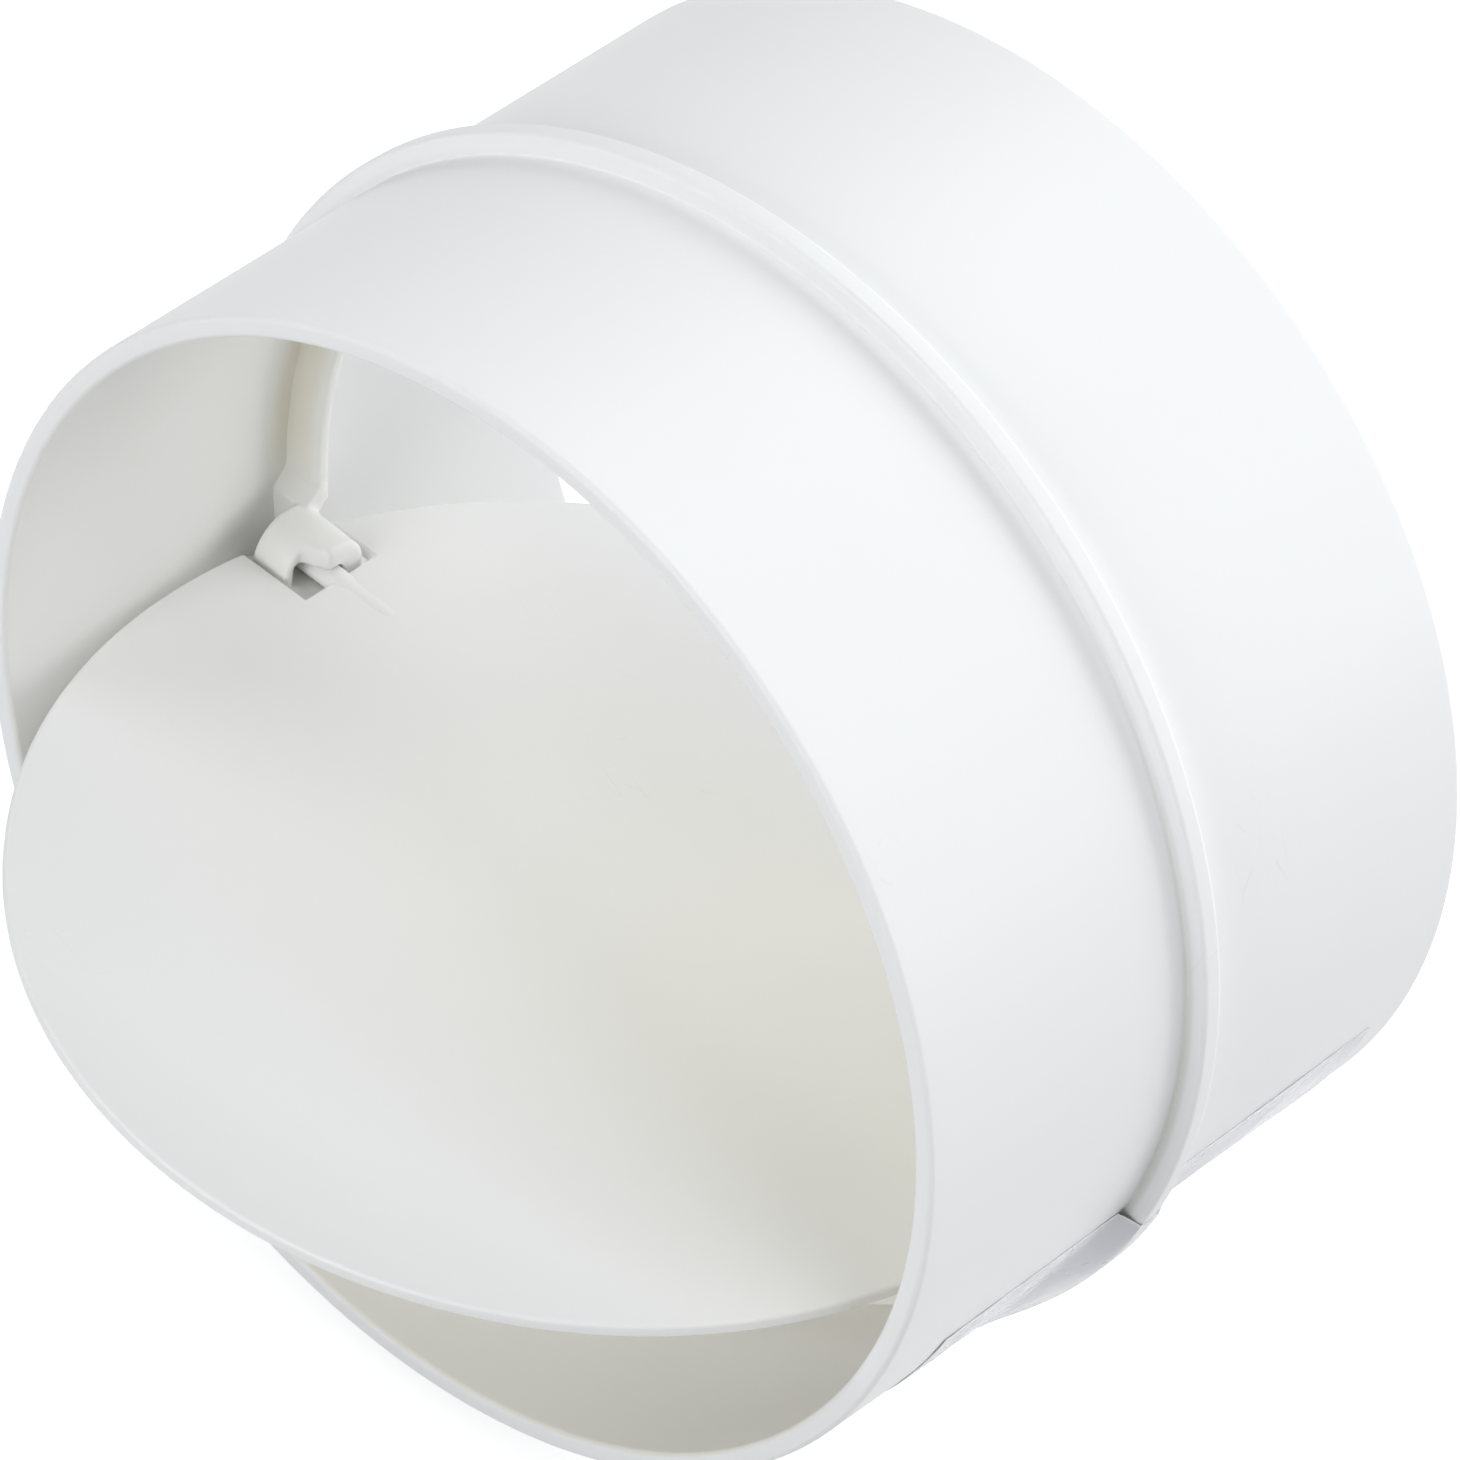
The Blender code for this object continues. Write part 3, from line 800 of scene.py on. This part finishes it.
def add_boss(work, side):
    """Neck, hook and lip as one closed skin."""
    neck_turn = boss_turn(-NECK_SETBACK)
    lip_turn = boss_turn(LIP_ROOT_REACH)
    tip_turn = boss_turn(LIP_TIP_REACH)
    neck = boss_arc(-neck_turn, neck_turn)
    upper = boss_arc(neck_turn, lip_turn)[1:]
    front = boss_arc(lip_turn, 360 - lip_turn)[1:]
    lower = boss_arc(360 - lip_turn, 360 - neck_turn)[1:-1]
    whole = neck + upper + front + lower
    wall_end = add_section(work, side, neck, None)
    start = add_section(work, side, whole, HOOK_START_X)
    face = add_section(work, side, whole, BOSS_FACE_X)
    neck_end = len(neck)
    lip_end = neck_end + len(upper)
    lip_start = lip_end + len(front) - 1
    root = face[lip_start:] + face[:lip_end]
    tip_outline = boss_arc(-tip_turn, tip_turn, len(root) - 1)
    lip = add_section(work, side, tip_outline, LIP_END_X + BOSS_CHAMFER)
    tip = add_section(work, side, tip_outline, LIP_END_X, BOSS_CHAMFER)
    for near, far in ((wall_end, start[:neck_end]), (start, face), (root, lip), (lip, tip)):
        join_sections(work, near, far)
    for cap in (wall_end, start[neck_end - 1:] + start[:1], face[lip_end - 1:lip_start + 1], tip):
        work.faces.new(cap)


def ramp_outline(way):
    """The ramp's outline as (y, height) about the pins' line; way as for the ledges."""
    foot = math.sqrt(BOSS_RADIUS**2 - NECK_SETBACK**2) - RAMP_SINK
    bottom = FLAP_THICKNESS / 2 + LEDGE_END_GAP + RAMP_SINK
    middle = (LEDGE_NEAR_Y + LEDGE_FAR_Y) / 2
    crest = BOSS_RADIUS + RAMP_RISE
    corners = [(NECK_SETBACK, foot), (LEDGE_NEAR_Y, crest), (middle, crest), (middle, bottom)]
    corners.append((NECK_SETBACK, bottom))
    return [(way * y, way * height) for y, height in corners]


def make_solid(name, fill, *arguments):
    """A closed solid for each side of the tube, as one object."""
    work = bmesh.new()
    for side in (-1, 1):
        fill(work, side, *arguments)
    mesh = bpy.data.meshes.new(name)
    work.to_mesh(mesh)
    work.free()
    return tidy_mesh(link(name, mesh))


def slot_outline():
    """Round behind the pin and square before it."""
    outline = corner_arc((0, 0), PIN_BORE_RADIUS, PIN_BORE_RADIUS, -90, 90, 16)
    return outline + [(-SLOT_FRONT, PIN_BORE_RADIUS), (-SLOT_FRONT, -PIN_BORE_RADIUS)]


bosses = make_solid("bosses", add_boss)
ramps = [make_solid(f"ramps_{way}", add_bar, ramp_outline(way), None, RAMP_END_X) for way in (-1, 1)]
slots = make_solid("slots", add_bar, slot_outline(), SLOT_END_X, LIP_END_X - 2 * MM)
fittings = combine(ledges[0], [ledges[1], bosses] + ramps, "UNION", "fittings_whole")
fittings = combine(fittings, [slots], "DIFFERENCE", "fittings_slotted")
say(fittings)

# %% [markdown]
# In the real moulding the bosses melt into the ramps and ledges with small soft corners. Bevels
# on edges cut by Booleans often fail. A voxel remesh with a light smooth rounds every corner,
# inside ones too, so the fittings get that, and are then joined to the wall.

# %% Body in one piece
SOFT_VOXEL = 0.22 * MM
SOFT_ROUNDS = 6


def soften(piece, name):
    """Rebuild the solid from small voxels and smooth it a little."""
    remesh = piece.modifiers.new("voxels", "REMESH")
    remesh.mode = "VOXEL"
    remesh.voxel_size = SOFT_VOXEL
    smooth = piece.modifiers.new("soft", "SMOOTH")
    smooth.factor = 0.5
    smooth.iterations = SOFT_ROUNDS
    return take_result(piece, name)


fittings = soften(fittings, "fittings")
say(fittings)
connector_shell = combine(wall, [fittings], "UNION", "connector_shell")
connector_shell.data.materials.clear()
connector_shell.data.materials.append(BODY_PLASTIC)
connector_shell = shade(tidy_mesh(connector_shell), 50.0)
say(connector_shell)
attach(connector_shell, "connector")
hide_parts("connector_body")

# %% [markdown]
# The flap is a round plate with a notch on each side that clears the boss. Its outline is one
# line: arcs of the circle, broken by the two notches. It is given its thickness and a small
# round edge, and the two pins are joined on, each led into the plate by a rib.

# %% Flap
FLAP_SIDE_X = math.sqrt(BORE_RADIUS**2 - (-PIVOT_Z + FLAP_THICKNESS / 2) ** 2)
FLAP_RADIUS = FLAP_SIDE_X - 0.8 * MM
FLAP_CENTRE_Y = PIVOT_Z
FLAP_EDGE_ROUND = 0.3 * MM
FLAP_STEPS = 256
NOTCH_X = LIP_END_X - 0.5 * MM
NOTCH_HALF_WIDTH = BOSS_RADIUS + 0.55 * MM
PIN_END_X = SLOT_END_X - 1.0 * MM
RIB_START_X = NOTCH_X - 6.8 * MM
RIB_NOSE = 2.0 * MM
RIB_HEIGHT = 0.12 * MM
RIB_BLEND = 1.5 * MM
PIN_CHAMFER = 0.3 * MM
PIN_RUNS = 14


def flap_arc(start, end):
    """Points of the plate's circle between two angles, both ends included."""
    steps = round(FLAP_STEPS * (end - start) / (2 * math.pi))
    angles = [start + (end - start) * i / steps for i in range(steps + 1)]
    return [(FLAP_RADIUS * math.cos(a), FLAP_CENTRE_Y + FLAP_RADIUS * math.sin(a)) for a in angles]


def flap_outline():
    """The plate's outline as (x, y), with a notch from each side up to the boss's end."""
    back = math.asin((NOTCH_HALF_WIDTH - FLAP_CENTRE_Y) / FLAP_RADIUS)
    front = math.asin((-NOTCH_HALF_WIDTH - FLAP_CENTRE_Y) / FLAP_RADIUS)
    outline = [(NOTCH_X, NOTCH_HALF_WIDTH)]
    outline += flap_arc(back, math.pi - back)
    outline += [(-NOTCH_X, NOTCH_HALF_WIDTH), (-NOTCH_X, -NOTCH_HALF_WIDTH)]
    outline += flap_arc(math.pi - front, 2 * math.pi + front)
    outline.append((NOTCH_X, -NOTCH_HALF_WIDTH))
    return outline


def make_plate():
    work = bmesh.new()
    low_z, high_z = PIVOT_Z - FLAP_THICKNESS / 2, PIVOT_Z + FLAP_THICKNESS / 2
    lower = [work.verts.new((x, y, low_z)) for x, y in flap_outline()]
    upper = [work.verts.new((x, y, high_z)) for x, y in flap_outline()]
    work.faces.new(lower)
    work.faces.new(upper)
    join_sections(work, lower, upper)
    mesh = bpy.data.meshes.new("plate")
    work.to_mesh(mesh)
    work.free()
    plate = tidy_mesh(link("plate", mesh))
    step = plate.modifiers.new("rounded", "BEVEL")
    step.width = FLAP_EDGE_ROUND
    step.segments = 4
    step.limit_method = "ANGLE"
    step.angle_limit = math.radians(30)
    return take_result(plate, "flap_plate")


def make_pin(side):
    """A pin and its rib: one turned bar with a round nose, laid along X, its rib pressed flat."""
    first_y, last_y = RIB_START_X + RIB_NOSE, PIN_END_X - PIN_CHAMFER
    points = corner_arc((0, first_y), PIN_RADIUS, RIB_NOSE, -90, 0, 10)
    points += [(PIN_RADIUS, first_y + (last_y - first_y) * i / PIN_RUNS) for i in range(1, PIN_RUNS + 1)]
    points += [(PIN_RADIUS - PIN_CHAMFER, PIN_END_X), (0.0, PIN_END_X)]
    pin = turn_outline(f"pin_{side}", points, FLAP_PLASTIC, 40, closed=False)
    pin.data.transform(Matrix.Rotation(math.radians(-90 * side), 4, "Z"))
    flatness = (FLAP_THICKNESS / 2 + RIB_HEIGHT) / PIN_RADIUS
    for vert in pin.data.vertices:
        depth = min(1.0, max(0.0, (NOTCH_X - abs(vert.co.x)) / RIB_BLEND))
        vert.co.z = PIVOT_Z + vert.co.z * (1.0 - (1.0 - flatness) * depth)
    return tidy_mesh(pin)


flap_plate = combine(make_plate(), [make_pin(-1), make_pin(1)], "UNION", "flap_plate")
flap_plate.data.materials.clear()
flap_plate.data.materials.append(FLAP_PLASTIC)
flap_plate = shade(tidy_mesh(flap_plate), 35.0)
say(flap_plate)
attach(flap_plate, "flap")
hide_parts("flap")

# %% [markdown]
# A thin film label is stuck round the lower side of the tube, across the bead. It is too stiff to
# follow the bead into its corners, so it bridges them: tightly at its upper edge, and loosely
# underneath, with a few faint crinkles. A turned section would be the same all round, so the
# sheet is a grid of points instead, each lifted off the wall by its own amount. It is left blank.

# %% Film label
FILM_THICKNESS = 0.1 * MM
FILM_FRONT_Y = -20.0 * MM
FILM_BACK_Y = 28.0 * MM
FILM_EDGE_DEG = -18.0
FILM_SKEW_DEG = 4.0
FILM_TURN_DEG = 57.0
FILM_TIGHT_RUNS = (0.8 * MM, 4.0 * MM)
FILM_LOOSE_RUNS = (9.5 * MM, 8.0 * MM)
FILM_LOOSE_FROM = 0.22
FILM_GAP = 0.03 * MM
FILM_CRINKLE = 0.07 * MM
FILM_GLOW_DEPTH = 0.25 * MM
FILM_SKEW_ABOUT = 0.45
# Radians over the film's whole turn, and radians for each millimetre along the tube.
FILM_WAVE = (31.0, 0.9)
FILM_CROSS_WAVE = (12.0, 0.55)
FILM_ROWS = 72
FILM_COLUMNS = 120


def film_lift(turn, y):
    """How far the film stands off the spigot's wall; turn runs from 0 at its upper edge to 1."""
    loose = min(1.0, turn / FILM_LOOSE_FROM)
    way = 0 if y < 0 else 1
    run = FILM_TIGHT_RUNS[way] + (FILM_LOOSE_RUNS[way] - FILM_TIGHT_RUNS[way]) * loose
    off = max(-y, y - BEAD_WIDTH, 0.0)
    bridge = (BEAD_RADIUS - SPIGOT_RADIUS) * max(0.0, 1.0 - off / run) ** 1.2
    wave = math.sin(turn * FILM_WAVE[0] + y / MM * FILM_WAVE[1])
    wave *= math.sin(y / MM * FILM_CROSS_WAVE[1] - turn * FILM_CROSS_WAVE[0])
    return FILM_GAP + bridge + FILM_CRINKLE * (0.5 + 0.5 * wave) * min(1.0, off / MM)


def make_film_sheet():
    work = bmesh.new()
    rows = []
    for i in range(FILM_ROWS + 1):
        turn = i / FILM_ROWS
        row = []
        for j in range(FILM_COLUMNS + 1):
            share = j / FILM_COLUMNS
            y = FILM_FRONT_Y + (FILM_BACK_Y - FILM_FRONT_Y) * share
            skew = FILM_SKEW_DEG * (share - FILM_SKEW_ABOUT)
            angle = math.radians(FILM_EDGE_DEG + skew - FILM_TURN_DEG * turn)
            radius = SPIGOT_RADIUS + film_lift(turn, y)
            row.append(work.verts.new((radius * math.cos(angle), y, radius * math.sin(angle))))
        rows.append(row)
    for near, far in zip(rows, rows[1:]):
        for j in range(FILM_COLUMNS):
            work.faces.new((near[j], near[j + 1], far[j + 1], far[j]))
    mesh = bpy.data.meshes.new("film_sheet")
    work.to_mesh(mesh)
    work.free()
    return link("film_sheet", mesh)


def make_film_material():
    """Cool white film, thin enough to let light through, with clouds in its colour and gloss."""
    made, shader = new_material("label_film")
    tree = made.node_tree
    skin = add_node(tree, "ShaderNodeGroup", {"Cloud Scale": 140.0}, node_tree=SKIN)
    colour = mix_colours(tree, skin.outputs["Cloud"], (0.80, 0.79, 0.83, 1.0), (0.76, 0.75, 0.80, 1.0))
    tree.links.new(colour, shader.inputs["Base Color"])
    tree.links.new(cloud_gloss(tree, skin, 0.2, 0.35), shader.inputs["Roughness"])
    bump = add_node(
        tree, "ShaderNodeBump", {"Strength": 1.0, "Distance": 0.03 * MM, "Height": skin.outputs["Cloud"]}
    )
    tree.links.new(bump.outputs["Normal"], shader.inputs["Normal"])
    shader.inputs["Specular IOR Level"].default_value = 0.3
    shader.inputs["Subsurface Weight"].default_value = 1.0
    shader.inputs["Subsurface Radius"].default_value = (1.0, 1.0, 1.0)
    shader.inputs["Subsurface Scale"].default_value = FILM_GLOW_DEPTH
    return made


film_label = make_film_sheet()
film_label.data.materials.append(make_film_material())
thick = film_label.modifiers.new("thick", "SOLIDIFY")
thick.thickness = FILM_THICKNESS
thick.offset = 0.0
film_label = shade(tidy_mesh(take_result(film_label, "film_label")))
say(film_label)
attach(film_label, "connector")
